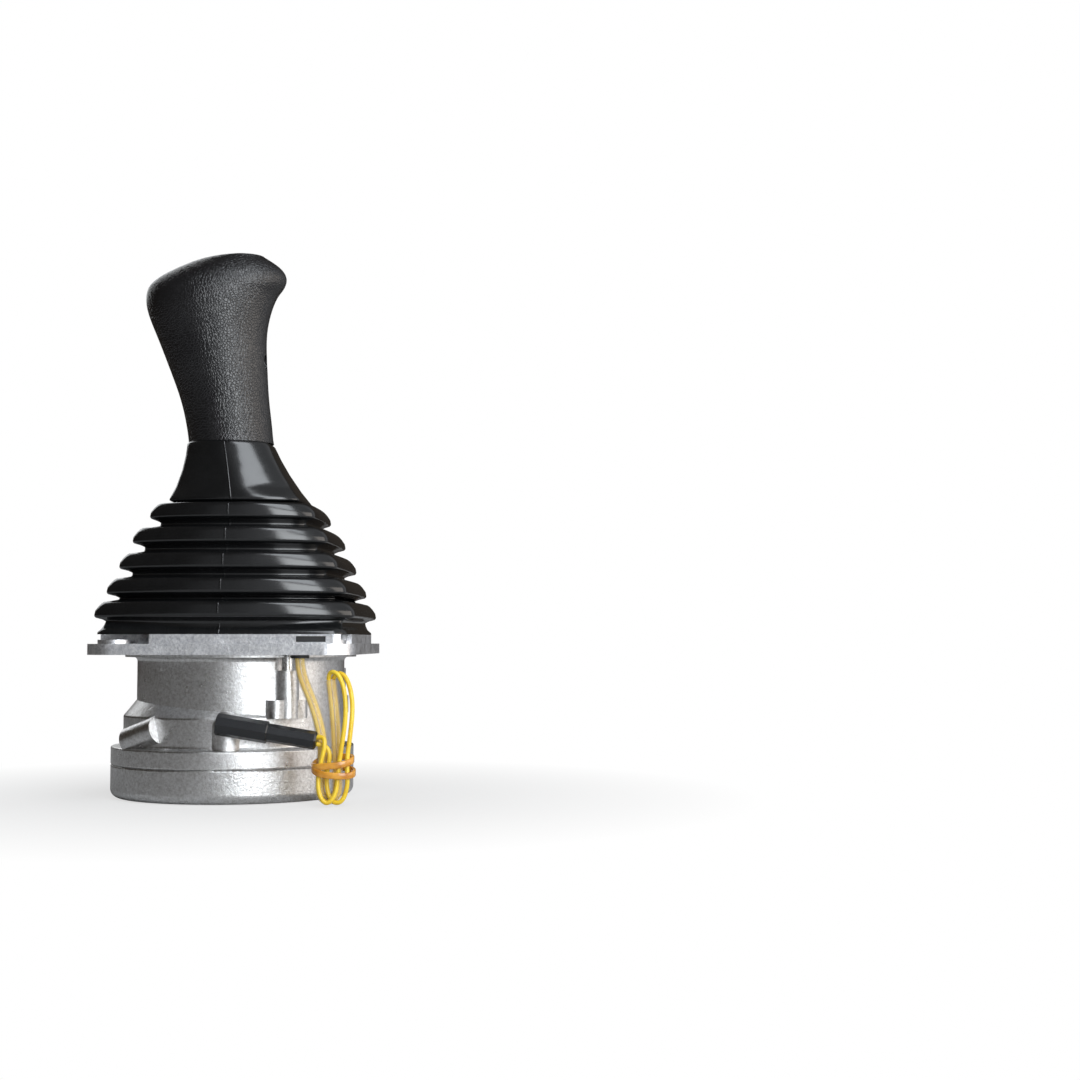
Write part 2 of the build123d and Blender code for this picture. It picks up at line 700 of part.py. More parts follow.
with BuildPart() as joint_yoke:
    with BuildSketch(Plane.XY.offset(CAM_Z)):
        Circle(HUB_R)
    extrude(amount=HUB_T)
    with BuildSketch(Plane.XY.offset(CAM_Z + HUB_T)):
        Circle(STUD_R)
    extrude(amount=STUD_TOP - CAM_Z - HUB_T)
    chamfer(joint_yoke.edges().sort_by(Axis.Z)[-1], EDGE_CUT)
    add(joint_ears(LEAN_PLANE, CAM_Z, TRUNNION_R + RUN_FIT))
save(joint_yoke, "joint_yoke")


# ---------------------------------------------------------------- cam plate, lock nut and lever
with BuildPart() as cam_plate:
    with BuildSketch(Plane.XY.offset(CAM_Z)):
        Circle(CAM_R)
    extrude(amount=CAM_T)
    chamfer(cam_plate.faces().sort_by(Axis.Z)[-1].edges(), CAM_T / 2)
    chamfer(cam_plate.faces().sort_by(Axis.Z)[0].edges(), CAM_T / 6)
    with BuildSketch(Plane.XY.offset(CAM_Z)):
        Circle(HUB_R)
    extrude(amount=HUB_T, mode=Mode.SUBTRACT)
    with BuildSketch(Plane.XY.offset(CAM_Z)):
        Circle(STUD_R)
    extrude(amount=CAM_T, mode=Mode.SUBTRACT)
save(cam_plate, "cam_plate")

with BuildPart() as lock_nut:
    with BuildSketch(Plane.XY.offset(CAM_TOP)):
        RegularPolygon(NUT_AF / 2, 6, major_radius=False)
        Circle(STUD_R, mode=Mode.SUBTRACT)
    extrude(amount=NUT_T)
save(lock_nut, "lock_nut")

BEND_R = 4 * LEVER_R
with BuildPart() as lever_rod:
    with BuildLine() as lever_line:
        FilletPolyline(
            (0, 0, NUT_TOP + ROD_SOCKET_H),
            (0, 0, BEND_Z),
            (-(LEVER_TOP - BEND_Z) * tan(radians(RAKE)), 0, LEVER_TOP),
            radius=BEND_R,
        )
    with BuildSketch(Plane.XY.offset(NUT_TOP + ROD_SOCKET_H)):
        Circle(LEVER_R)
    sweep(path=lever_line.line)
    with BuildSketch(Plane.XY.offset(NUT_TOP)):
        Circle(ROD_SOCKET_R)
    extrude(amount=ROD_SOCKET_H)
    chamfer(lever_rod.faces().sort_by(Axis.Z)[0].outer_wire().edges(), EDGE_CUT)
    with BuildSketch(Plane.XY.offset(NUT_TOP)):
        Circle(STUD_R)
    extrude(amount=STUD_TOP - NUT_TOP + SLIP_FIT, mode=Mode.SUBTRACT)
save(lever_rod, "lever_rod")


# ---------------------------------------------------------------- grip
def oval_stack(ovals, foot, step):
    """Smooth body through level ovals, a step apart from the foot up."""
    with BuildPart(mode=Mode.PRIVATE) as body:
        for level, (centre, half_w, half_d) in enumerate(ovals):
            with BuildSketch(Plane.XY.offset(foot + level * step)):
                with Locations((centre, 0)):
                    Ellipse(half_w, half_d)
        loft()
    return body.part


def lever_plane(z):
    """Plane across the raked part of the lever at height z."""
    return Plane(
        origin=(-(z - BEND_Z) * tan(radians(RAKE)), 0, z),
        x_dir=(cos(radians(RAKE)), 0, sin(radians(RAKE))),
        z_dir=(-sin(radians(RAKE)), 0, cos(radians(RAKE))),
    )


def lever_x(z):
    """Distance of the raked lever's axis from the upright axis at height z."""
    return -(z - BEND_Z) * tan(radians(RAKE))


SCREW_TIP_X = lever_x(GRIP_SCREW_Z) + LEVER_R / cos(radians(RAKE)) + M4_R * tan(radians(RAKE)) + RUN_FIT
with BuildPart() as grip:
    add(oval_stack(GRIP_OVALS, GRIP_BOTTOM, GRIP_STEP))
    add(oval_stack(DOME_OVALS, GRIP_SHOULDER, DOME_STEP))
    # bore for the lever
    with BuildSketch(lever_plane(GRIP_BOTTOM - LEVER_R)):
        Circle(LEVER_R + RUN_FIT)
    extrude(amount=(LEVER_TOP - GRIP_BOTTOM + LEVER_R) / cos(radians(RAKE)) + SLIP_FIT, mode=Mode.SUBTRACT)
    # pockets for the bezel cap and, under it, the switch
    with BuildSketch(Plane.XY.offset(CAP_Z)):
        with Locations((BUTTON_X, 0)):
            Circle(CAP_R + RUN_FIT)
    extrude(amount=2 * CAP_H, mode=Mode.SUBTRACT)
    with BuildSketch(Plane.XY.offset(CAP_Z)):
        with Locations((BUTTON_X, 0)):
            Circle(FLANGE_CLEAR_R)
    extrude(amount=SWITCH_TOP - SWITCH_H - CAP_Z, mode=Mode.SUBTRACT)
    # recess and hole of the clamp screw in the right side
    with BuildSketch(Plane.YZ.offset(SCREW_HEAD_X)):
        with Locations((0, GRIP_SCREW_Z)):
            Circle(M4_HEAD_R + SLIP_FIT)
    extrude(amount=GRIP_OVALS[0][1], mode=Mode.SUBTRACT)
    with BuildSketch(Plane.YZ.offset(SCREW_HEAD_X)):
        with Locations((0, GRIP_SCREW_Z)):
            Circle(M4_R + RUN_FIT)
    extrude(amount=SCREW_TIP_X - SCREW_HEAD_X, mode=Mode.SUBTRACT)
save(grip, "grip")

with BuildPart() as grip_cap:
    with BuildSketch(Plane.XY.offset(CAP_Z)):
        with Locations((BUTTON_X, 0)):
            Circle(CAP_R)
    extrude(amount=CAP_H)
    fillet(grip_cap.edges().sort_by(Axis.Z)[-1], CAP_ROUND)
    with BuildSketch(Plane.XY.offset(CAP_Z)):
        with Locations((BUTTON_X, 0)):
            Circle(BUTTON_R + SLIP_FIT)
    extrude(amount=CAP_H, mode=Mode.SUBTRACT)
    with BuildSketch(Plane.XY.offset(CAP_Z)):
        with Locations((BUTTON_X, 0)):
            Circle(FLANGE_CLEAR_R)
    extrude(amount=2 * BUTTON_FLANGE_T, mode=Mode.SUBTRACT)
save(grip_cap, "grip_cap")

with BuildPart() as thumb_button:
    with BuildSketch(Plane.XY.offset(BUTTON_FOOT_Z)):
        with Locations((BUTTON_X, 0)):
            Circle(BUTTON_FLANGE_R)
    extrude(amount=BUTTON_FLANGE_T)
    with BuildSketch(Plane.XY.offset(BUTTON_FOOT_Z)):
        with Locations((BUTTON_X, 0)):
            Circle(BUTTON_R)
    extrude(amount=GRIP_TOP - BUTTON_SINK - BUTTON_FOOT_Z)
    fillet(thumb_button.edges().sort_by(Axis.Z)[-1], BUTTON_ROUND)
save(thumb_button, "thumb_button")

with BuildPart() as button_spring:
    with BuildSketch(Plane.XY.offset(SWITCH_TOP)):
        with Locations((BUTTON_X, 0)):
            Circle(SPRING_OUT_R)
            Circle(SPRING_IN_R, mode=Mode.SUBTRACT)
    extrude(amount=BUTTON_FOOT_Z - SWITCH_TOP)
save(button_spring, "button_spring")

with BuildPart() as switch_body:
    with BuildSketch(Plane.XY.offset(SWITCH_TOP - SWITCH_H)):
        with Locations((BUTTON_X, 0)):
            Rectangle(SWITCH_W, SWITCH_W)
    extrude(amount=SWITCH_H)
save(switch_body, "switch_body")

with BuildPart() as grip_screw:
    with BuildSketch(Plane.YZ.offset(SCREW_HEAD_X)):
        with Locations((0, GRIP_SCREW_Z)):
            Circle(M4_HEAD_R)
    extrude(amount=M4_HEAD_H)
    fillet(grip_screw.faces().sort_by(Axis.X)[-1].edges(), M4_HEAD_H / 3)
    with BuildSketch(Plane.YZ.offset(SCREW_HEAD_X + M4_HEAD_H)):
        with Locations((0, GRIP_SCREW_Z)):
            Rectangle(2 * CROSS_REACH, CROSS_W)
            Rectangle(CROSS_W, 2 * CROSS_REACH)
    extrude(amount=-M4_HEAD_H / 2, mode=Mode.SUBTRACT)
    with BuildSketch(Plane.YZ.offset(SCREW_HEAD_X)):
        with Locations((0, GRIP_SCREW_Z)):
            Circle(M4_R)
    extrude(amount=SCREW_TIP_X - SCREW_HEAD_X)
save(grip_screw, "grip_screw")


# ---------------------------------------------------------------- boot
def square_stack(sections):
    """Straight-sided body through level rounded squares: height, x centre, half width, corner radius."""
    with BuildPart(mode=Mode.PRIVATE) as body:
        for height, centre, half, corner in sections:
            with BuildSketch(Plane.XY.offset(height)):
                with Locations((centre, 0)):
                    RectangleRounded(2 * half, 2 * half, corner)
        loft(ruled=True)
    return body.part


def boot_sections(wall):
    """Sections from the foot up to the top; wall moves them inwards for the inner face."""
    sections = [
        (RIM_TOP - wall, 0, SKIRT_FOOT_HALF - wall, BOOT_CORNER),
        (RIM_TOP + UNDERCUT, 0, SKIRT_HALF - wall, BOOT_CORNER),
        (RINGS[-1][1] - UNDERCUT + wall, 0, SKIRT_HALF - wall, BOOT_CORNER),
    ]
    for half, lip_z in reversed(RINGS):
        if half < RINGS[-1][0]:
            sections.append((lip_z - UNDERCUT, 0, half - FOLD_DEPTH - wall, BOOT_CORNER))
        sections.append((lip_z + wall, 0, half - wall, BOOT_CORNER))
        sections.append((lip_z + LIP_H, 0, half - LIP_LEAN - wall, BOOT_CORNER))
    sections.append((CONE_FOOT_Z - UNDERCUT, 0, CONE_FOOT_HALF - FOLD_DEPTH / 2 - wall, BOOT_CORNER))
    sections.append((CONE_FOOT_Z + wall, 0, CONE_FOOT_HALF - wall, BOOT_CORNER))
    sections.append((GRIP_BOTTOM - wall / 2, CONE_SHIFT, CONE_TOP_HALF - wall, CONE_TOP_CORNER - wall))
    return sections


with BuildPart() as boot:
    add(square_stack(boot_sections(0)))
    add(square_stack(boot_sections(BOOT_WALL)), mode=Mode.SUBTRACT)
    # hole for the lever in the top
    with BuildSketch(lever_plane(GRIP_BOTTOM)):
        Circle(LEVER_R + SLIP_FIT)
    extrude(amount=4 * BOOT_WALL, both=True, mode=Mode.SUBTRACT)
    # pockets above the mounting bolts
    with BuildSketch(Plane.XY.offset(RIM_TOP)):
        add(bolt_pockets(POCKET_R))
    extrude(amount=POCKET_TOP - RIM_TOP, mode=Mode.SUBTRACT)
save(boot, "boot")


# ---------------------------------------------------------------- lead, sleeve, connector and band
with BuildPart() as cable_grommet:
    with BuildSketch(Plane.XY.offset(CASE_TOP - GROMMET_HANG)):
        with Locations((GROMMET_X, GROMMET_Y)):
            Circle(GROMMET_R - RUN_FIT)
    extrude(amount=PLATE_T + RIM_H / 2 + GROMMET_HANG)
    with BuildSketch(Plane.XZ.offset(RIM_HALF - WINDOW_INSET)):
        with Locations((WINDOW_X, PLATE_TOP + RIM_H / 2)):
            Rectangle(WINDOW_W - 2 * RUN_FIT, WINDOW_H - 2 * RUN_FIT)
    extrude(amount=-(RIM_HALF - WINDOW_INSET + GROMMET_Y - RUN_FIT))
save(cable_grommet, "cable_grommet")


def cord_tube(points, radii, diameter):
    """Tube along straight runs joined by tangent arcs."""
    with BuildPart(mode=Mode.PRIVATE) as tube:
        with BuildLine() as route:
            FilletPolyline(*points, radius=radii)
        with BuildSketch(Plane(origin=route.line @ 0, z_dir=route.line % 0)):
            Circle(diameter / 2)
        sweep(path=route.line)
    return tube.part


def bend_radii(points):
    """Largest arc that the two runs at each corner allow."""
    radii = []
    for before, here, after in zip(points, points[1:], points[2:]):
        run_in = Vector(*here) - Vector(*before)
        run_out = Vector(*after) - Vector(*here)
        turn = radians(run_in.get_angle(run_out))
        radii.append(0.45 * min(run_in.length, run_out.length) / tan(turn / 2))
    return radii


SLEEVE_POINTS = [
    (GROMMET_X, GROMMET_Y, CASE_TOP - GROMMET_HANG),
    (GROMMET_X, GROMMET_Y, 57.5),
    (41.5, -51.0, 43.0),
    (45.6, -52.0, 28.0),
    (45.0, -52.6, 14.0),
    (44.2, -53.0, 3.0),
    (52.4, -53.4, 2.8),
    (52.0, -53.0, 14.0),
    (51.4, -52.4, 28.0),
    (50.4, -52.0, 42.0),
    (48.8, -52.0, 54.0),
]
LEAD_A_POINTS = [
    (48.0, -52.8, 54.2),
    (48.0, -53.4, 56.4),
    (49.8, -54.7, 58.0),
    (53.0, -56.6, 56.4),
    (55.6, -58.0, 50.0),
    (56.4, -58.8, 39.0),
    (54.8, -58.6, 27.0),
    (53.0, -58.8, 15.0),
    (52.6, -59.4, 5.6),
    (48.6, -60.2, 0.6),
    (44.8, -59.6, 5.0),
    (44.6, -59.2, 14.0),
    (46.4, -59.6, 21.5),
    (47.6, -59.6, 27.4),
    (46.2, -58.0, 30.0),
    (43.6, -57.8, 29.6),
]
LEAD_B_POINTS = [
    (49.6, -51.2, 54.2),
    (50.4, -51.0, 56.2),
    (52.8, -51.8, 57.4),
    (55.8, -53.4, 55.2),
    (58.2, -55.4, 49.0),
    (59.0, -56.4, 41.0),
    (58.0, -57.2, 30.0),
    (56.6, -57.6, 19.0),
    (57.4, -57.8, 9.0),
    (54.8, -57.8, 1.4),
    (49.8, -57.0, 1.8),
    (47.8, -56.8, 8.6),
    (48.2, -56.8, 15.6),
    (49.4, -56.7, 21.4),
    (48.4, -56.6, 24.8),
    (46.0, -57.2, 26.4),
    (43.6, -57.4, 26.6),
]
for name, points, diameter in (
    ("lead_sleeve", SLEEVE_POINTS, SLEEVE_D),
    ("lead_a", LEAD_A_POINTS, WIRE_D),
    ("lead_b", LEAD_B_POINTS, WIRE_D),
):
    radii = bend_radii(points)
    print(name, "radii", [round(r, 1) for r in radii])
    with BuildPart() as piece:
        add(cord_tube(points, radii, diameter))
    save(piece, name)

PLUG_END = (43.6, -57.8, 28.1)
PLUG_MID = (22.6, -57.8, 31.6)
PLUG_MOUTH = (0.4, -57.8, 35.3)
PLUG_R = 4.0
SOCKET_R = 4.8
SOCKET_BORE_R = 3.5
HOUSING_SIDES = 8
MOUTH_CUT = 0.4


def tube_between(start, end):
    """Plane across the line from start to end, with its length."""
    line = Vector(*end) - Vector(*start)
    return Plane(origin=start, z_dir=line), line.length


plug_plane, plug_length = tube_between(PLUG_END, PLUG_MID)
socket_plane, socket_length = tube_between(PLUG_MID, PLUG_MOUTH)
with BuildPart() as connector_plug:
    with BuildSketch(plug_plane):
        RegularPolygon(PLUG_R, HOUSING_SIDES)
    extrude(amount=plug_length)
    chamfer(connector_plug.faces().sort_by(Axis.X)[-1].edges(), 2 * MOUTH_CUT)
save(connector_plug, "connector_plug")

with BuildPart() as connector_socket:
    with BuildSketch(socket_plane):
        RegularPolygon(SOCKET_R, HOUSING_SIDES)
    extrude(amount=socket_length)
    chamfer(connector_socket.faces().sort_by(Axis.X)[-1].edges(), MOUTH_CUT)
    with BuildSketch(socket_plane.offset(socket_length)):
        RegularPolygon(SOCKET_BORE_R, HOUSING_SIDES)
    extrude(amount=-socket_length / 2, mode=Mode.SUBTRACT)
save(connector_socket, "connector_socket")

BAND_CENTRE = (50.5, -55.1)
BAND_LOW = 12.5
BAND_WIDTH = 9.0
BAND_T = 1.2
BAND_W = 19.0
BAND_D = 13.5
BAND_CORNER = 4.5
with BuildPart() as rubber_band:
    with BuildSketch(Plane.XY.offset(BAND_LOW)):
        with Locations(BAND_CENTRE):
            RectangleRounded(BAND_W, BAND_D, BAND_CORNER)
            offset(amount=-BAND_T, mode=Mode.SUBTRACT)
    extrude(amount=BAND_WIDTH)
save(rubber_band, "rubber_band")
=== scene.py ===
# %% [markdown]
# # Hydraulic pilot joystick valve
#
# This lesson dresses a machined and cast control valve: a hand grip on a lever, a square rubber
# bellows, a mounting plate, a round cast casing and a short lead with its connector.
#
# The mechanical model is already exact, so it is loaded as a fixed frame and never moved. The
# work here is the part that a mechanical model lacks: soft shapes, finishes and light.

# %% Load the frame
import bpy
import bmesh
import math
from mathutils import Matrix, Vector


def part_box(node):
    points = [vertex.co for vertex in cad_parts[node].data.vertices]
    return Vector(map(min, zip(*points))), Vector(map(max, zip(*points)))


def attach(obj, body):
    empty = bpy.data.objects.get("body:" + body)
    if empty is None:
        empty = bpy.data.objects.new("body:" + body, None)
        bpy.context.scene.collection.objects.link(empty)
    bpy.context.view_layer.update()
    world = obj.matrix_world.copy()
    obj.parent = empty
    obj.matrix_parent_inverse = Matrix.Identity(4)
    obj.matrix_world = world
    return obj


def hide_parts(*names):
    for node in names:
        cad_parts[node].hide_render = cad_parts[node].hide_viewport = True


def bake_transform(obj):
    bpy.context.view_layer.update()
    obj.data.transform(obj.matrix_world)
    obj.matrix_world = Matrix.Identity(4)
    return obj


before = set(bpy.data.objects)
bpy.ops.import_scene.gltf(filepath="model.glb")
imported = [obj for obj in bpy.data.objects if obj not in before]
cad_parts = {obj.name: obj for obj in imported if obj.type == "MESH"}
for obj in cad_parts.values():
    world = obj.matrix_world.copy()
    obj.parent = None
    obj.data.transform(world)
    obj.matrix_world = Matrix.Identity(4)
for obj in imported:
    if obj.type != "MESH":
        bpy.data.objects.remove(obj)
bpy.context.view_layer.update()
scene = bpy.context.scene
MM = 0.001

# %% [markdown]
# ## Camera
#
# The valve stands upright and is seen from the front, a little from its right, from about the
# height of its mounting plate. A long lens from 0.8 m keeps the square plate from looking
# skewed. The camera could be aimed with a constraint, but two plain angles are easier to
# repeat.

# %% Camera
CAMERA_PLACE = (0.1503, -0.7858, 0.071)
CAMERA_YAW = -0.0142
CAMERA_PITCH = 0.06
CAMERA_LENS = 56.1
CAMERA_SENSOR = 36.0

camera_data = bpy.data.cameras.new("camera")
camera_data.lens = CAMERA_LENS
camera_data.sensor_width = CAMERA_SENSOR
camera = bpy.data.objects.new("camera", camera_data)
camera.location = CAMERA_PLACE
camera.rotation_euler = (math.pi / 2 + CAMERA_PITCH, 0.0, -CAMERA_YAW)
scene.collection.objects.link(camera)
scene.camera = camera
scene.view_settings.view_transform = "Standard"
print("camera at", [round(v, 3) for v in camera.location])

# %% [markdown]
# ## Building materials from nodes
#
# Every finish below is made of the same few steps: a shader with its plain values set on its
# own sockets, a texture that varies the colour or the gloss, and a bump. Small helpers keep the
# recipes short. Textures use object coordinates, which are metres here, so a scale of 1000
# makes features about a millimetre wide on every piece.

# %% Helpers for finishes
def finish(name, colour, roughness, metallic=0.0, **sockets):
    """A material with one shader; further sockets are given by name with _ for spaces."""
    material = bpy.data.materials.new(name)
    material.use_nodes = True
    shader = material.node_tree.nodes["Principled BSDF"]
    shader.inputs["Base Color"].default_value = (*colour, 1.0)
    shader.inputs["Roughness"].default_value = roughness
    shader.inputs["Metallic"].default_value = metallic
    for socket, value in sockets.items():
        shader.inputs[socket.replace("_", " ")].default_value = value
    return material


def add_node(owner, kind, operation=None, **values):
    """A node of that kind in a material or world, with its inputs set by name."""
    node = owner.node_tree.nodes.new(kind)
    if operation:
        node.operation = operation
    for socket, value in values.items():
        node.inputs[socket.replace("_", " ")].default_value = value
    return node


def link(owner, source, target):
    owner.node_tree.links.new(source, target)


def place(material):
    """The output that gives each point's place on its object."""
    return add_node(material, "ShaderNodeTexCoord").outputs["Object"]


def noise(material, scale, detail=3.0, roughness=0.5):
    """Cloudy noise with about scale clouds per metre."""
    node = add_node(material, "ShaderNodeTexNoise", Scale=scale, Detail=detail, Roughness=roughness)
    link(material, place(material), node.inputs["Vector"])
    return node.outputs["Fac"]


def cells(material, scale, feature="F1"):
    """Distances in a pattern with about scale cells per metre."""
    node = add_node(material, "ShaderNodeTexVoronoi", Scale=scale)
    node.feature = feature
    link(material, place(material), node.inputs["Vector"])
    return node.outputs["Distance"]


def ramp(owner, source, stops):
    """A colour ramp over source; stops are (position, grey or colour)."""
    node = add_node(owner, "ShaderNodeValToRGB")
    while len(node.color_ramp.elements) < len(stops):
        node.color_ramp.elements.new(0.5)
    for element, (position, colour) in zip(node.color_ramp.elements, stops):
        element.position = position
        rgb = colour if isinstance(colour, tuple) else (colour, colour, colour)
        element.color = (*rgb, 1.0)
    link(owner, source, node.inputs["Fac"])
    return node.outputs["Color"]


def to_shader(material, source, socket):
    link(material, source, material.node_tree.nodes["Principled BSDF"].inputs[socket])


def vary(material, socket, source, stops):
    """Drives that socket of the shader with a ramp over source."""
    to_shader(material, ramp(material, source, stops), socket)


def bump(material, height, strength, depth, before=None):
    """A bump of that height pattern, depth metres deep, on top of an earlier bump."""
    node = add_node(material, "ShaderNodeBump", Strength=strength, Distance=depth)
    link(material, height, node.inputs["Height"])
    if before is not None:
        link(material, before, node.inputs["Normal"])
    return node.outputs["Normal"]


# %% [markdown]
# ## Cast and machined aluminium
#
# The casing and the port block are sand cast: dull grey, with a fine grain, cloudy patches and
# a few pits where sand broke away. The mounting plate is die cast and brighter, with a coarser
# sparkle. The grain could be displaced geometry, but it is a tenth of a millimetre deep, so a
# bump is enough.

# %% Cast aluminium
GRAIN_DEPTH = 0.00025
PIT_DEPTH = 0.0003
CLOUD_SCALE = 700.0
GLOSS_PATCH_SCALE = 160.0


def cast_metal(name, dark, light, rough_low, rough_high, grain, pits):
    """Bare cast metal; grain and pits are per metre, and pits may be 0 for none."""
    material = finish(name, light, rough_high, metallic=1.0)
    clouds = noise(material, CLOUD_SCALE, 4.0, 0.75)
    vary(material, "Base Color", clouds, [(0.36, dark), (0.64, light)])
    patches = noise(material, GLOSS_PATCH_SCALE, 4.0)
    vary(material, "Roughness", patches, [(0.3, rough_low), (0.75, rough_high)])
    normal = bump(material, noise(material, grain, 4.0, 0.65), 0.55, GRAIN_DEPTH)
    if pits:
        holes = ramp(material, cells(material, pits), [(0.0, 0.0), (0.07, 1.0)])
        normal = bump(material, holes, 0.6, PIT_DEPTH, normal)
    to_shader(material, normal, "Normal")
    return material


CASING_METAL = cast_metal(
    "sand_cast", dark=(0.5, 0.49, 0.48), light=(0.76, 0.76, 0.76),
    rough_low=0.27, rough_high=0.37, grain=1300.0, pits=55.0,
)
PLATE_METAL = cast_metal(
    "die_cast", dark=(0.6, 0.61, 0.64), light=(0.95, 0.95, 0.96),
    rough_low=0.3, rough_high=0.42, grain=1000.0, pits=0.0,
)
print("metals:", CASING_METAL.name, PLATE_METAL.name)

# %% [markdown]
# ## Steel, zinc and springs
#
# Screws, nut and lever are zinc plated, pins and rods are ground, and the grip's own screw is
# blackened. A plain metal shader would look like a mirror. The marks of turning and grinding
# could be drawn along each piece, but at this size they only soften the gloss, so one fine
# grain in gloss and bump serves all of them.

# %% Steels
DULL_PATCH_SCALE = 220.0
DULL_SHARE = 0.8
TOOL_MARK_DEPTH = 0.00005


def steel(name, colour, rough_low, rough_high, grain):
    """Smooth steel or plating with a fine grain in its gloss."""
    material = finish(name, colour, rough_high, metallic=1.0)
    darker = tuple(DULL_SHARE * c for c in colour)
    dull = noise(material, DULL_PATCH_SCALE)
    vary(material, "Base Color", dull, [(0.35, darker), (0.65, colour)])
    vary(material, "Roughness", noise(material, grain), [(0.3, rough_low), (0.7, rough_high)])
    to_shader(material, bump(material, noise(material, grain), 0.15, TOOL_MARK_DEPTH), "Normal")
    return material


ZINC = steel("zinc_plate", (0.78, 0.78, 0.77), 0.2, 0.34, 900.0)
GROUND_STEEL = steel("ground_steel", (0.55, 0.55, 0.56), 0.16, 0.26, 1500.0)
SPRING_WIRE = steel("spring_wire", (0.34, 0.34, 0.36), 0.3, 0.42, 1300.0)
BLACK_SCREW = steel("black_screw", (0.07, 0.07, 0.075), 0.3, 0.42, 1300.0)
print("steels:", [metal.name for metal in (ZINC, GROUND_STEEL, SPRING_WIRE, BLACK_SCREW)])

# %% [markdown]
# ## Rubber and moulded plastic
#
# The bellows is moulded rubber with a wet-looking gloss, and seals are duller. The grip is
# moulded with a fine leather grain: small rounded cells with narrow grooves between them. A
# scanned leather could be laid over it, but it would need unfolding the grip. Cells from a
# Voronoi texture lie on any shape, and their edges become the grooves.

# %% Rubber and plastic
WORN_SCALE = 70.0
HANDLED_SCALE = 30.0
SKIN_SCALE = 500.0
SKIN_DEPTH = 0.0001


def rubber(name, colour, rough_low, rough_high, dust, gloss=0.5):
    """Rubber or moulded plastic, paler by dust where it is worn."""
    material = finish(name, colour, rough_high, Specular_IOR_Level=gloss)
    worn = tuple(c + dust for c in colour)
    rubbed = noise(material, WORN_SCALE, 6.0, 0.7)
    vary(material, "Base Color", rubbed, [(0.45, colour), (0.8, worn)])
    handled = noise(material, HANDLED_SCALE, 5.0)
    vary(material, "Roughness", handled, [(0.3, rough_low), (0.7, rough_high)])
    to_shader(material, bump(material, noise(material, SKIN_SCALE), 0.12, SKIN_DEPTH), "Normal")
    return material


BELLOWS_RUBBER = rubber("bellows_rubber", (0.005, 0.0055, 0.006), 0.13, 0.2, 0.004, 0.7)
SEAL_RUBBER = rubber("seal_rubber", (0.018, 0.018, 0.018), 0.5, 0.65, 0.01)
MOULDED_BLACK = rubber("moulded_black", (0.009, 0.01, 0.012), 0.18, 0.28, 0.006, 0.65)

LEATHER_SCALE, LEATHER_DEPTH = 800.0, 0.00024
UNEVEN_SCALE, UNEVEN_DEPTH = 420.0, 0.0003
GRIP_DARK, GRIP_PALE = (0.007, 0.007, 0.008), (0.013, 0.013, 0.014)

GRIP_SKIN = finish("grip_skin", (0.014, 0.014, 0.015), 0.42, Specular_IOR_Level=0.6)
vary(GRIP_SKIN, "Base Color", noise(GRIP_SKIN, 60.0, 5.0), [(0.3, GRIP_DARK), (0.75, GRIP_PALE)])
vary(GRIP_SKIN, "Roughness", noise(GRIP_SKIN, 90.0), [(0.3, 0.22), (0.7, 0.28)])
grooves = cells(GRIP_SKIN, LEATHER_SCALE, "DISTANCE_TO_EDGE")
leather = ramp(GRIP_SKIN, grooves, [(0.0, 0.0), (0.2, 0.8), (0.5, 1.0)])
uneven = bump(GRIP_SKIN, noise(GRIP_SKIN, UNEVEN_SCALE), 0.2, UNEVEN_DEPTH)
to_shader(GRIP_SKIN, bump(GRIP_SKIN, leather, 0.5, LEATHER_DEPTH, uneven), "Normal")
print("rubbers:", [skin.name for skin in (BELLOWS_RUBBER, SEAL_RUBBER, MOULDED_BLACK, GRIP_SKIN)])

# %% [markdown]
# ## Which node wears which finish
#
# The mechanical pieces keep their own shape, so all they need is a finish. A table of pieces
# per finish is easier to read than one line per piece, and the four control lines share one
# loop.

# %% Finishes of the mechanical pieces
LINES = ("right", "rear", "left", "front")
WEARS = {
    CASING_METAL: ["port_block", "casing", "casing_neck"],
    PLATE_METAL: ["mounting_plate"],
    ZINC: ["block_screws", "plate_screws", "retaining_plate", "lock_nut", "lever_rod"],
    BLACK_SCREW: ["grip_screw"],
    GROUND_STEEL: ["joint_base", "joint_spider", "joint_yoke", "cam_plate"],
    SPRING_WIRE: ["button_spring"],
    SEAL_RUBBER: ["block_seals", "bush_seals", "rod_seals", "cable_grommet"],
    MOULDED_BLACK: [
        "grip_cap", "thumb_button", "switch_body", "connector_plug", "connector_socket",
    ],
    GRIP_SKIN: ["grip"],
}
for line in LINES:
    WEARS[ZINC] += [f"guide_bush_{line}", f"spring_seat_{line}"]
    WEARS[GROUND_STEEL] += [f"push_rod_{line}", f"spool_{line}"]
    WEARS[SPRING_WIRE] += [f"return_spring_{line}", f"metering_spring_{line}"]


def wear(piece, material):
    piece.data.materials.clear()
    piece.data.materials.append(material)


for material, pieces in WEARS.items():
    for name in pieces:
        wear(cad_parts[name], material)
print("dressed", sum(len(pieces) for pieces in WEARS.values()), "mechanical pieces")
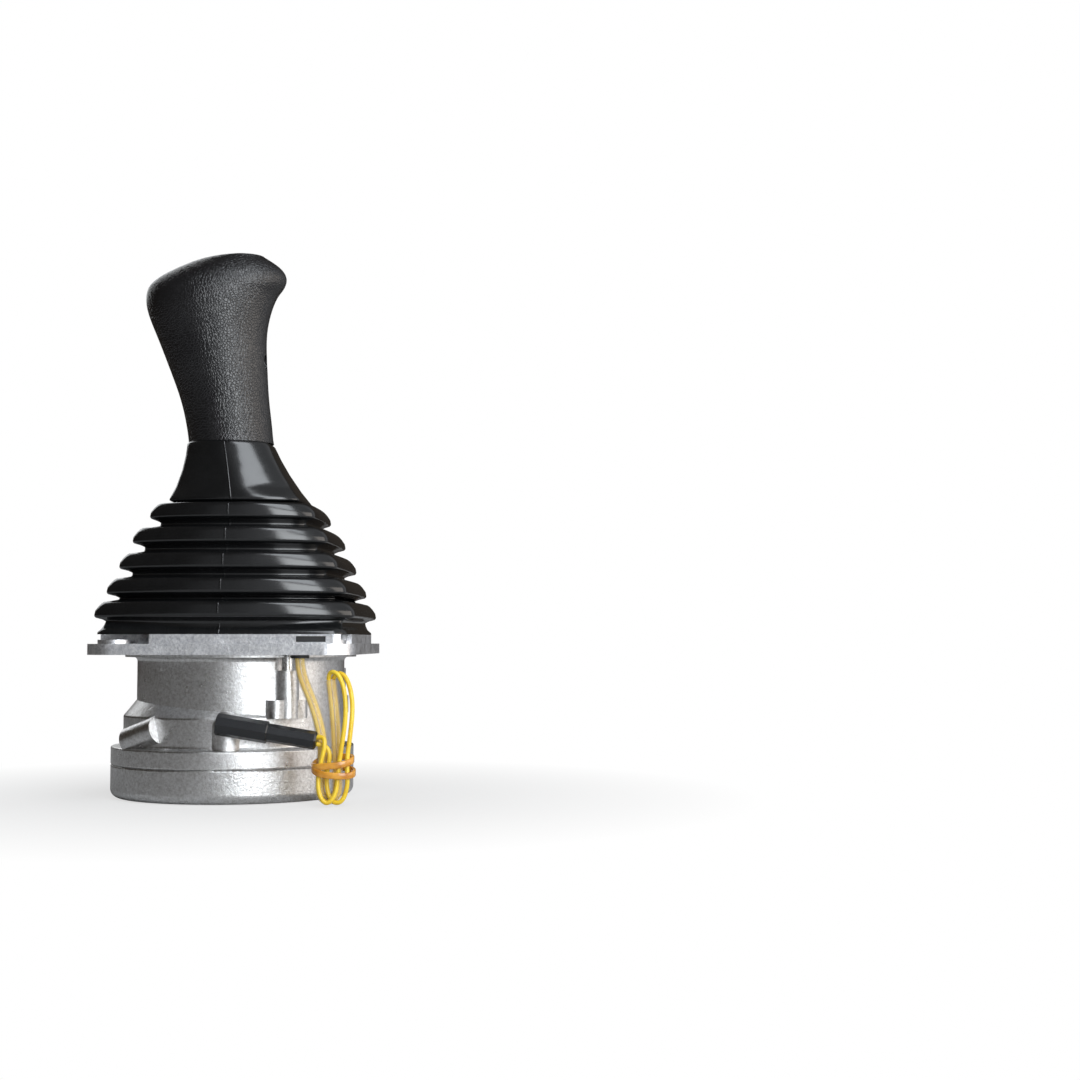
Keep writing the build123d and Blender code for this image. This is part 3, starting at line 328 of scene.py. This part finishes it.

# %% [markdown]
# ## The lead
#
# A clear sleeve comes down from the grommet, folds at the bottom and goes back up, and two thin
# yellow wires leave its mouth, arch over, dip under the rubber band and end in the connector.
# The spare length is bundled like that when the valve is packed. The routes could be simulated
# as hanging wires, but a bundled lead keeps the shape it was folded into, so the points are
# given one by one.

# %% The routes, in millimetres
SLEEVE_ROUTE = [
    (34.95, -50.48, 63.5), (34.95, -50.48, 57.5), (41.5, -51.0, 43.0), (45.6, -52.0, 28.0),
    (45.0, -52.6, 14.0), (44.2, -53.0, 3.0), (52.4, -53.4, 2.8), (52.0, -53.0, 14.0),
    (51.4, -52.4, 28.0), (50.4, -52.0, 42.0), (48.8, -52.0, 54.0),
]
LEAD_A_ROUTE = [
    (48.0, -52.8, 54.2), (48.0, -53.4, 56.4), (49.8, -54.7, 58.0), (53.0, -56.6, 56.4),
    (55.6, -58.0, 50.0), (56.4, -58.8, 39.0), (54.8, -58.6, 27.0), (53.0, -58.8, 15.0),
    (52.6, -59.4, 5.6), (48.6, -60.2, 0.6), (44.8, -59.6, 5.0), (44.6, -59.2, 14.0),
    (46.4, -59.6, 21.5), (47.6, -59.6, 27.4), (46.2, -58.0, 30.0), (43.6, -57.8, 29.6),
]
LEAD_B_ROUTE = [
    (49.6, -51.2, 54.2), (50.4, -51.0, 56.2), (52.8, -51.8, 57.4), (55.8, -53.4, 55.2),
    (58.2, -55.4, 49.0), (59.0, -56.4, 41.0), (58.0, -57.2, 30.0), (56.6, -57.6, 19.0),
    (57.4, -57.8, 9.0), (54.8, -57.8, 1.4), (49.8, -57.0, 1.8), (47.8, -56.8, 8.6),
    (48.2, -56.8, 15.6), (49.4, -56.7, 21.4), (48.4, -56.6, 24.8), (46.0, -57.2, 26.4),
    (43.6, -57.4, 26.6),
]
SLEEVE_D, WIRE_D = 5.0, 2.0
print("route points:", len(SLEEVE_ROUTE), len(LEAD_A_ROUTE), len(LEAD_B_ROUTE))

# %% [markdown]
# ## Curves along the routes
#
# The sleeve is clear, slightly yellowed tube, and the wires have plain yellow insulation. Each
# is one smooth line with a round section. A chain of straight tubes would show its joints, and
# a line that runs through every point would wobble. A NURBS line follows its points loosely, as
# a springy wire does. The connector's two halves keep their mechanical shape, with their edges
# just softened.

# %% Cord curves
CLEAR_PVC = finish(
    "clear_pvc", (0.9, 0.8, 0.55), 0.14, Alpha=0.3, Coat_Weight=0.5, Coat_Roughness=0.06
)
vary(CLEAR_PVC, "Base Color", noise(CLEAR_PVC, 60.0),
     [(0.3, (0.86, 0.7, 0.4)), (0.7, (0.94, 0.86, 0.66))])
WIRE_YELLOW = finish("wire_yellow", (0.84, 0.6, 0.04), 0.28)
vary(WIRE_YELLOW, "Base Color", noise(WIRE_YELLOW, 150.0),
     [(0.3, (0.74, 0.48, 0.025)), (0.7, (0.86, 0.62, 0.05))])
SOFT_EDGE = 0.35 * MM


def cord_curve(name, route, diameter, material):
    """One open NURBS line through the route's points, as thick as the cord."""
    curve = bpy.data.curves.new(name, "CURVE")
    curve.dimensions = "3D"
    curve.resolution_u = 12
    curve.bevel_depth = diameter / 2 * MM
    curve.bevel_resolution = 6
    curve.use_fill_caps = True
    spline = curve.splines.new("NURBS")
    spline.points.add(len(route) - 1)
    for point, spot in zip(spline.points, route):
        point.co = (*(v * MM for v in spot), 1.0)
    spline.order_u = 3
    spline.use_endpoint_u = True
    curve.materials.append(material)
    cord = bpy.data.objects.new(name, curve)
    scene.collection.objects.link(cord)
    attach(cord, "valve")
    return cord


sleeve = cord_curve("clear_sleeve", SLEEVE_ROUTE, SLEEVE_D, CLEAR_PVC)
wire_a = cord_curve("wire_a", LEAD_A_ROUTE, WIRE_D, WIRE_YELLOW)
wire_b = cord_curve("wire_b", LEAD_B_ROUTE, WIRE_D, WIRE_YELLOW)
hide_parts("lead_sleeve")
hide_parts("lead_a")
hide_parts("lead_b")
connector = [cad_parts["connector_plug"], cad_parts["connector_socket"]]
for piece in connector:
    edges = piece.modifiers.new("soft_edges", "BEVEL")
    edges.width = SOFT_EDGE
    edges.segments = 2
    edges.limit_method = "ANGLE"
print("curves:", sleeve.name, wire_a.name, wire_b.name)

# %% [markdown]
# ## The wires that show through the sleeve
#
# Inside the sleeve the same two wires run side by side and turn slowly round each other. They
# could be two more curves, but those would drift from the sleeve's own line. So the points are
# read from the sleeve's line, shifted to either side, and a thin tube is built along each row
# of points.

# %% The wires inside the sleeve
SIDEWAYS = Vector((0.0, 1.0, 0.0))
INNER_WIRE_RADIUS = 0.95 * MM
INNER_WIRE_SHIFT = 1.05 * MM
TWIST, TWIST_PER_POINT = 0.5, 0.09
TUBE_SIDES = 10


def read_line(cord):
    """Points of the cord's own smooth line, in metres, without its thickness."""
    bare = bpy.data.objects.new("bare_line", cord.data.copy())
    bare.data.bevel_depth = 0.0
    bare.data.use_fill_caps = False
    line = bpy.data.meshes.new_from_object(bare)
    points = [vertex.co.copy() for vertex in line.vertices]
    bpy.data.meshes.remove(line)
    bpy.data.curves.remove(bare.data)
    return points


def directions(points, i):
    """The line's own direction at its point i, and one direction across it."""
    ahead = (points[min(i + 1, len(points) - 1)] - points[max(i - 1, 0)]).normalized()
    return ahead, ahead.cross(SIDEWAYS).normalized()


def join_rings(mesh, low, high):
    """Faces between two closed rings with the same number of points."""
    count = len(low)
    for k in range(count):
        after = (k + 1) % count
        mesh.faces.new((low[k], low[after], high[after], high[k]))


def mesh_piece(name, mesh, material):
    """A smooth-shaded object from that bmesh."""
    data = bpy.data.meshes.new(name)
    mesh.to_mesh(data)
    mesh.free()
    data.materials.append(material)
    data.shade_smooth()
    piece = bpy.data.objects.new(name, data)
    scene.collection.objects.link(piece)
    return piece


def tube_mesh(name, points, radius, material):
    """A round tube along those points."""
    mesh = bmesh.new()
    angles = [2 * math.pi * k / TUBE_SIDES for k in range(TUBE_SIDES)]
    rings = []
    for i, spot in enumerate(points):
        ahead, across = directions(points, i)
        up = across.cross(ahead)
        rim = [across * math.cos(a) + up * math.sin(a) for a in angles]
        rings.append([mesh.verts.new(spot + away * radius) for away in rim])
    for low, high in zip(rings, rings[1:]):
        join_rings(mesh, low, high)
    bmesh.ops.recalc_face_normals(mesh, faces=mesh.faces)
    return mesh_piece(name, mesh, material)


sleeve_line = read_line(sleeve)
for side, name in ((-1, "inner_wire_a"), (1, "inner_wire_b")):
    shifted = []
    for i, spot in enumerate(sleeve_line):
        ahead, across = directions(sleeve_line, i)
        twist = TWIST * math.sin(i * TWIST_PER_POINT)
        away = across * math.cos(twist) + SIDEWAYS * math.sin(twist)
        shifted.append(spot + away * side * INNER_WIRE_SHIFT)
    wire = tube_mesh(name, shifted, INNER_WIRE_RADIUS, WIRE_YELLOW)
    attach(wire, "valve")
print("sleeve line points:", len(sleeve_line))

# %% [markdown]
# ## Where the cords leave the valve
#
# A cord on a real product is bought by length, and hangs by how stiff it is. Both could be left
# to the shape alone, but then a cord that is laid out anew would change its length. Here each
# cord's first point, where it leaves the valve, is given in metres.

# %% Facts of the cords
first = {"sleeve": SLEEVE_ROUTE[0], "a": LEAD_A_ROUTE[0], "b": LEAD_B_ROUTE[0]}
first = {key: [v * MM for v in spot] for key, spot in first.items()}
print("cords:", sleeve.name, wire_a.name, wire_b.name)

# %% [markdown]
# ## Rubber band
#
# An amber band is wound twice round the spare lead. Two separate rings would be simpler, but
# then the turns couldn't cross. One closed line that goes round two times, with its height
# swinging as it goes, gives the crossing, and a flat section makes it a band.

# %% Rubber band
AMBER_RUBBER = finish(
    "amber_rubber", (0.62, 0.27, 0.035), 0.26, Coat_Weight=0.4, Coat_Roughness=0.12
)
vary(AMBER_RUBBER, "Base Color", noise(AMBER_RUBBER, 160.0),
     [(0.35, (0.46, 0.17, 0.015)), (0.65, (0.76, 0.37, 0.05))])
band_low, band_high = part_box("rubber_band")
band_centre = (band_low + band_high) / 2
band_half = (band_high - band_low) / 2
BAND_THICK = 1.3 * MM
BAND_WIDE = 2.8 * MM
BAND_STEPS = 96
BAND_SWING = 2.9 * MM
BAND_WAVE = 1.5 * MM
BAND_ROUND = 0.3 * MM
CORNERING = 0.8


def squarish(value):
    """A cosine or sine pushed outwards, so that a circle gets nearer to a rounded square."""
    return math.copysign(abs(value) ** CORNERING, value)


def band_point(share):
    """Centre line of the band at that share of its two turns."""
    angle = share * 4 * math.pi
    inset = BAND_THICK * (0.55 + 0.25 * math.cos(share * 2 * math.pi))
    x = (band_half.x - inset) * squarish(math.cos(angle))
    y = (band_half.y - inset) * squarish(math.sin(angle))
    height = BAND_SWING * math.cos(share * 2 * math.pi) + BAND_WAVE * math.sin(angle)
    return band_centre + Vector((x, y, height))


def closed_strip(name, points, wide, thick, material):
    """A closed band of rectangular section, flat side away from the middle of its path."""
    mesh = bmesh.new()
    middle = sum(points, Vector()) / len(points)
    rings = []
    for spot in points:
        out = Vector((spot.x - middle.x, spot.y - middle.y, 0)).normalized()
        corners = [
            out * (a * thick / 2) + Vector((0, 0, b * wide / 2))
            for a, b in ((-1, -1), (1, -1), (1, 1), (-1, 1))
        ]
        rings.append([mesh.verts.new(spot + away) for away in corners])
    for here, there in zip(rings, rings[1:] + rings[:1]):
        join_rings(mesh, here, there)
    bmesh.ops.recalc_face_normals(mesh, faces=mesh.faces)
    return mesh_piece(name, mesh, material)


band_line = [band_point(i / BAND_STEPS) for i in range(BAND_STEPS)]
band = closed_strip("wound_band", band_line, BAND_WIDE, BAND_THICK, AMBER_RUBBER)
rounding = band.modifiers.new("rounding", "BEVEL")
rounding.width = BAND_ROUND
rounding.segments = 2
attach(band, "valve")
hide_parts("rubber_band")
print("band faces:", len(band.data.polygons))

# %% [markdown]
# ## The bellows
#
# The boot is a square bellows: five ridges, each a flat band with a sharp lower lip, then a
# deep fold, and a plain leaning cone that ends under the grip. One profile, height against half
# width, is swept round a square with small round corners. The front and rear sides bow well
# outwards, the left and right ones hardly at all, and a fine line of flash from the mould runs
# down the middle. A revolve would make it round and a stack of boxes would lose the folds, so
# the mesh is built ring by ring.

# %% Profile of the bellows
# Each ridge: its height, its half width at the front and how much wider it is at the sides.
RIDGES = [
    (81.7, 56.4, 1.2), (92.2, 51.6, 1.6), (103.6, 47.0, 1.6),
    (115.3, 42.4, 1.2), (126.7, 36.4, 0.6),
]
FOLD = 4.0
FOOT_HALF = 52.3
CONE_FOOT_HALF = 26.2
foot_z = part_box("boot")[0].z / MM
top_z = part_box("boot")[1].z / MM

# The profile from the foot up, in millimetres: height, front half, side half, corner radius.
profile = [
    (foot_z, 54.9, 54.9, 8.0), (foot_z + 0.9, 54.8, 54.8, 8.0),
    (foot_z + 2.4, 53.0, 53.0, 6.0), (foot_z + 4.2, 52.4, 52.4, 4.0),
]
for level, (ridge_z, half, wider) in enumerate(RIDGES):
    inner = FOOT_HALF if level == 0 else half - FOLD
    next_inner = RIDGES[level + 1][1] - FOLD if level + 1 < len(RIDGES) else CONE_FOOT_HALF
    profile += [
        (ridge_z - 2.0, inner, inner, 2.6),
        (ridge_z - 1.2, (inner + half) / 2 - 0.4, (inner + half) / 2 - 0.4, 3.2),
        (ridge_z - 0.4, half - 0.7, half - 0.7 + wider, 4.2),
        (ridge_z + 0.1, half - 0.1, half - 0.1 + wider, 5.0),
        (ridge_z + 0.8, half + 0.1, half + 0.1 + wider, 5.4),
        (ridge_z + 2.7, half, half - 0.2 + wider, 6.0),
        (ridge_z + 4.8, half - 0.2, half - 1.6 + wider, 7.0),
        (ridge_z + 6.1, half - 0.5, half - 2.8 + wider, 7.5),
        (ridge_z + 6.7, half - 1.6, half - 3.6 + wider, 7.5),
        (ridge_z + 7.2, next_inner + 1.8, half - 4.9 + wider / 2, 7.0),
        (ridge_z + 7.8, next_inner - 0.2, next_inner + 1.0, 5.0),
        (ridge_z + 8.6, next_inner - 0.3, next_inner + 0.2, 3.4),
    ]
profile += [
    (134.2, 26.8, 26.8, 3.4), (134.8, 28.4, 28.6, 3.4),
    (135.3, 28.9, 29.2, 3.4), (136.4, 28.5, 28.8, 3.4),
    (142.0, 25.8, 25.8, 3.8), (150.0, 22.2, 22.2, 5.0), (157.0, 19.8, 19.8, 6.4),
    (top_z - 1.0, 18.4, 18.4, 7.6), (top_z - 0.2, 17.6, 17.6, 7.8), (top_z, 14.0, 14.0, 7.0),
]
print("profile points:", len(profile))

# %% [markdown]
# ## Outline and mesh of the bellows
#
# Seen from above, each ring of the bellows is a rectangle with round corners, and its front and
# rear fall back towards their ends. Rounded rectangles of a subdivision surface would bow too,
# but not by a set angle. Here each side is a curve that has turned by a named angle at its
# ends, and the corner arc takes up what is left of the quarter turn, so no edge shows. The
# bellows has to bend with the lever about two axes, so it is two pieces, a lower and an upper
# one, that meet at a fold.

# %% Outline of the bellows
SIDE_STEPS = 24
CORNER_STEPS = 8
CROWN = 1.0
BOW_REACH = 0.85
FRONT_TURN, FOOT_TURN, SIDE_TURN = math.radians(36.0), math.radians(8.0), math.radians(3.0)
TURN_FROM, TURN_OVER = 2.4, 4.0
RIDGE_SWELL, CONE_SWELL, SWELL_OVER = 3.0, 2.2, 8.0
SEAM_HALF, SEAM_RISE, SEAM_REACH = 0.2, 0.1, 0.6
LEAN_FROM, LEAN = 134.0, -6.0


def share_between(z, start, over):
    """0 below start, 1 above start plus over, and even between."""
    return min(1.0, max(0.0, (z - start) / over))


def bow(half, turn, swell):
    """How far a side falls back at its ends, so that it has turned by that much there."""
    return math.tan(turn) * BOW_REACH * half / swell


def side_points(middle, end, along, seam, swell):
    """One bowed side, from one end to the other, with a fine ridge of flash at its middle."""
    points = []
    for i in range(SIDE_STEPS):
        share = 2 * i / SIDE_STEPS - 1
        points.append((end + (middle - end) * (1 - abs(share) ** swell), along * share))
    if seam:
        centre = SIDE_STEPS // 2
        ridge = [(middle, reach) for reach in (-SEAM_REACH, -SEAM_HALF, SEAM_HALF, SEAM_REACH)]
        points[centre:centre + 1] = ridge[:2] + [(middle + SEAM_RISE, 0.0)] + ridge[2:]
    return points


def outline(front, side, corner, swell, front_turn):
    """Points round a rectangle with round corners and bowed sides, as (x, y) in millimetres."""
    depth, width = (front, front_turn), (side, SIDE_TURN)
    points = []
    for quarter in range(4):
        faces_front = quarter % 2 == 1
        (here, turn), (there, next_turn) = (depth, width) if faces_front else (width, depth)
        middle, end = here + CROWN, here + CROWN - bow(here, turn, swell)
        next_end = there + CROWN - bow(there, next_turn, swell)
        centre = (end - corner * math.cos(turn), next_end - corner * math.cos(next_turn))
        along = centre[1] + corner * math.sin(turn)
        run = side_points(middle, end, along, faces_front, swell)
        sweep = math.pi / 2 - turn - next_turn
        for i in range(CORNER_STEPS):
            angle = turn + sweep * i / CORNER_STEPS
            run.append((centre[0] + corner * math.cos(angle), centre[1] + corner * math.sin(angle)))
        spin = quarter * math.pi / 2
        cos, sin = math.cos(spin), math.sin(spin)
        points += [(x * cos - y * sin, x * sin + y * cos) for x, y in run]
    return points


def lean_at(z):
    """Sideways shift of the cone at that height."""
    return LEAN * share_between(z, LEAN_FROM, top_z - LEAN_FROM)


def swell_at(z):
    """The ridges are flatter in the middle; the cone swells evenly from edge to edge."""
    return RIDGE_SWELL - (RIDGE_SWELL - CONE_SWELL) * share_between(z, LEAN_FROM, SWELL_OVER)


def turn_at(z):
    """The front's turn at its ends: little at the foot, which follows the straight plate."""
    share = share_between(z, foot_z + TURN_FROM, TURN_OVER)
    return FOOT_TURN + (FRONT_TURN - FOOT_TURN) * share


ring_points = len(outline(RIDGES[0][1], RIDGES[0][1], 6.0, RIDGE_SWELL, FRONT_TURN))
print("points in a ring:", ring_points)

# %% Mesh of the bellows
ROW_STEP, MOST_ROWS = 1.6, 6
MEET_Z = 121.0


def finer_rows(points):
    """The profile with more rows between, so that each fold has rows to bend."""
    finer = []
    for here, there in zip(points, points[1:]):
        length = math.hypot(there[0] - here[0], there[1] - here[1])
        count = max(1, min(MOST_ROWS, round(length / ROW_STEP)))
        for k in range(count):
            finer.append(tuple(a + (b - a) * k / count for a, b in zip(here, there)))
    return finer + [points[-1]]


def bellows_piece(name, rows):
    """One part of the bellows, from its rows of the profile."""
    mesh = bmesh.new()
    rings = []
    for z, front, side, corner in rows:
        ring = outline(front, side, corner, swell_at(z), turn_at(z))
        rings.append([mesh.verts.new(((x + lean_at(z)) * MM, y * MM, z * MM)) for x, y in ring])
    for low, high in zip(rings, rings[1:]):
        join_rings(mesh, low, high)
    return mesh_piece(name, mesh, BELLOWS_RUBBER)


rows = finer_rows(profile)
lower_rows = [row for row in rows if row[0] <= MEET_Z]
meet_row = lower_rows[-1]
upper_rows = [meet_row] + [row for row in rows if row[0] > MEET_Z]
lower_boot = bellows_piece("bellows_lower", lower_rows)
upper_boot = bellows_piece("bellows_upper", upper_rows)
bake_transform(lower_boot)
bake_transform(upper_boot)
for piece in (lower_boot, upper_boot):
    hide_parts("boot")
    print(piece.name, "faces:", len(piece.data.polygons))

# %% [markdown]
# ## Floor
#
# A pale matte floor carries the shadow. A white floor would clip where the lamps meet it, so
# its colour stays a light grey, and only the camera sees it fade to white away from the valve.
# That is a glow mixed in by the distance from the middle. The shadow close to the valve is left
# as it falls.

# %% Floor
FLOOR_RADIUS = 0.9
FLOOR_DROP = 0.0003
FADE = [(0.07, 0.68), (0.24, 1.0)]

floor_mesh = bmesh.new()
bmesh.ops.create_circle(floor_mesh, cap_ends=True, radius=FLOOR_RADIUS, segments=96)
FLOOR_PALE = finish("floor_pale", (0.44, 0.43, 0.42), 0.9)
vary(FLOOR_PALE, "Base Color", noise(FLOOR_PALE, 3.0), [(0.3, 0.42), (0.7, 0.45)])
floor = mesh_piece("floor", floor_mesh, FLOOR_PALE)
glow = add_node(FLOOR_PALE, "ShaderNodeEmission", Color=(1.0, 1.0, 1.0, 1.0), Strength=1.0)
reach = add_node(FLOOR_PALE, "ShaderNodeVectorMath", "LENGTH")
link(FLOOR_PALE, place(FLOOR_PALE), reach.inputs[0])
fade = ramp(FLOOR_PALE, reach.outputs["Value"], FADE)
seen = add_node(FLOOR_PALE, "ShaderNodeLightPath")
share = add_node(FLOOR_PALE, "ShaderNodeMath", "MULTIPLY")
link(FLOOR_PALE, fade, share.inputs[0])
link(FLOOR_PALE, seen.outputs["Is Camera Ray"], share.inputs[1])
blend = add_node(FLOOR_PALE, "ShaderNodeMixShader")
matte = FLOOR_PALE.node_tree.nodes["Principled BSDF"].outputs["BSDF"]
link(FLOOR_PALE, share.outputs["Value"], blend.inputs["Fac"])
link(FLOOR_PALE, matte, blend.inputs[1])
link(FLOOR_PALE, glow.outputs["Emission"], blend.inputs[2])
surface = FLOOR_PALE.node_tree.nodes["Material Output"].inputs["Surface"]
link(FLOOR_PALE, blend.outputs["Shader"], surface)
floor.location.z = -FLOOR_DROP
print("floor radius in m:", FLOOR_RADIUS)

# %% [markdown]
# ## Lamps
#
# One tall soft window at the front right gives the broad highlights on the bowed rubber. Its
# upper part leans in over the valve, so it is made of two lamps, one above the other. A warm,
# weaker wall further round picks out the right edges, and a lamp far behind draws the rims on
# the left. A picture of a real room would mirror more detail, but plain panels are easier to
# place where a highlight is wanted.

# %% Lamps
AIM = (0.0, 0.0, 0.12)
LAMPS = {
    "window": {
        "spot": (0.94, -1.77, 0.55), "size": (1.0, 1.3),
        "watts": 25.0, "tint": (0.93, 0.97, 1.0),
    },
    "window_top": {
        "spot": (0.6, -1.12, 1.68), "size": (0.95, 1.25),
        "watts": 19.0, "tint": (0.9, 0.95, 1.0),
    },
    "far_window": {
        "spot": (-0.95, 1.55, 1.1), "size": (1.3, 1.1),
        "watts": 8.0, "tint": (0.95, 0.98, 1.0),
    },
    "warm_wall": {
        "spot": (1.93, -0.42, 0.5), "size": (1.7, 1.5),
        "watts": 16.0, "tint": (1.0, 0.92, 0.84),
    },
}


def soft_lamp(name, spot, size, watts, tint):
    """A rectangular lamp at that spot, turned towards the valve."""
    data = bpy.data.lights.new(name, "AREA")
    data.shape = "RECTANGLE"
    data.size, data.size_y = size
    data.energy = watts
    data.color = tint
    lamp = bpy.data.objects.new(name, data)
    lamp.location = spot
    lamp.rotation_euler = (Vector(AIM) - Vector(spot)).to_track_quat("-Z", "Y").to_euler()
    scene.collection.objects.link(lamp)


for name, facts in LAMPS.items():
    soft_lamp(name, **facts)
print("lamps:", list(LAMPS))

# %% [markdown]
# ## The room that shiny pieces mirror
#
# Black glossy rubber shows little but what it mirrors. In an evenly white room it would look
# grey, so the room is dim and warm on the left and paler on the right, and only the camera sees
# plain white behind the valve.

# %% World
DIM_SIDE = (-0.94, 0.342, 0.0)
ROOM = [(0.34, (0.46, 0.47, 0.49)), (0.5, (0.045, 0.037, 0.03))]

world = bpy.data.worlds.new("studio")
world.use_nodes = True
scene.world = world
direction = add_node(world, "ShaderNodeTexCoord").outputs["Generated"]
towards_dim = add_node(world, "ShaderNodeVectorMath", "DOT_PRODUCT")
towards_dim.inputs[1].default_value = DIM_SIDE
link(world, direction, towards_dim.inputs[0])
from_0_to_1 = add_node(world, "ShaderNodeMath", "MULTIPLY_ADD")
from_0_to_1.inputs[1].default_value = 0.5
from_0_to_1.inputs[2].default_value = 0.5
link(world, towards_dim.outputs["Value"], from_0_to_1.inputs[0])
room = world.node_tree.nodes["Background"]
room.inputs["Strength"].default_value = 1.0
link(world, ramp(world, from_0_to_1.outputs["Value"], ROOM), room.inputs["Color"])
backdrop = add_node(world, "ShaderNodeBackground", Color=(1.0, 1.0, 1.0, 1.0))
ray = add_node(world, "ShaderNodeLightPath")
mix = add_node(world, "ShaderNodeMixShader")
link(world, ray.outputs["Is Camera Ray"], mix.inputs["Fac"])
link(world, room.outputs["Background"], mix.inputs[1])
link(world, backdrop.outputs["Background"], mix.inputs[2])
link(world, mix.outputs["Shader"], world.node_tree.nodes["World Output"].inputs["Surface"])
print("world nodes:", len(world.node_tree.nodes))
